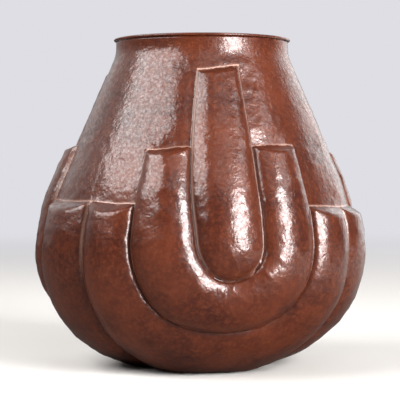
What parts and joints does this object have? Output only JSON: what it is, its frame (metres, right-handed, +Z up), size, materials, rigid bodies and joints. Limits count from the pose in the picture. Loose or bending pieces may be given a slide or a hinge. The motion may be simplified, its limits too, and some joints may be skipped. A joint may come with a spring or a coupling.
{
  "type": "hammered copper pot",
  "caption": "Open hammered metal pot: a low round belly with raised nested U-shaped lobes, a straight cone narrowing to a short collar, and a thin round bead at the lip.",
  "frame": {"origin": "centre of the foot, on the plane that the pot stands on", "axes": "+Z up along the pot's axis to the mouth; -Y towards the middle of one group of lobes; +X to that group's right"},
  "size_m": [0.179, 0.1781, 0.178],
  "materials": {
    "hammered_copper": "raised and planished copper, red-brown heat patina, waxed and glossy",
    "lip_copper": "copper wire, brown patina rubbed lighter along the top"
  },
  "bodies": {
    "root": {"pot_body": "hammered_copper", "lip_wire": "lip_copper"}
  },
  "joints": []
}
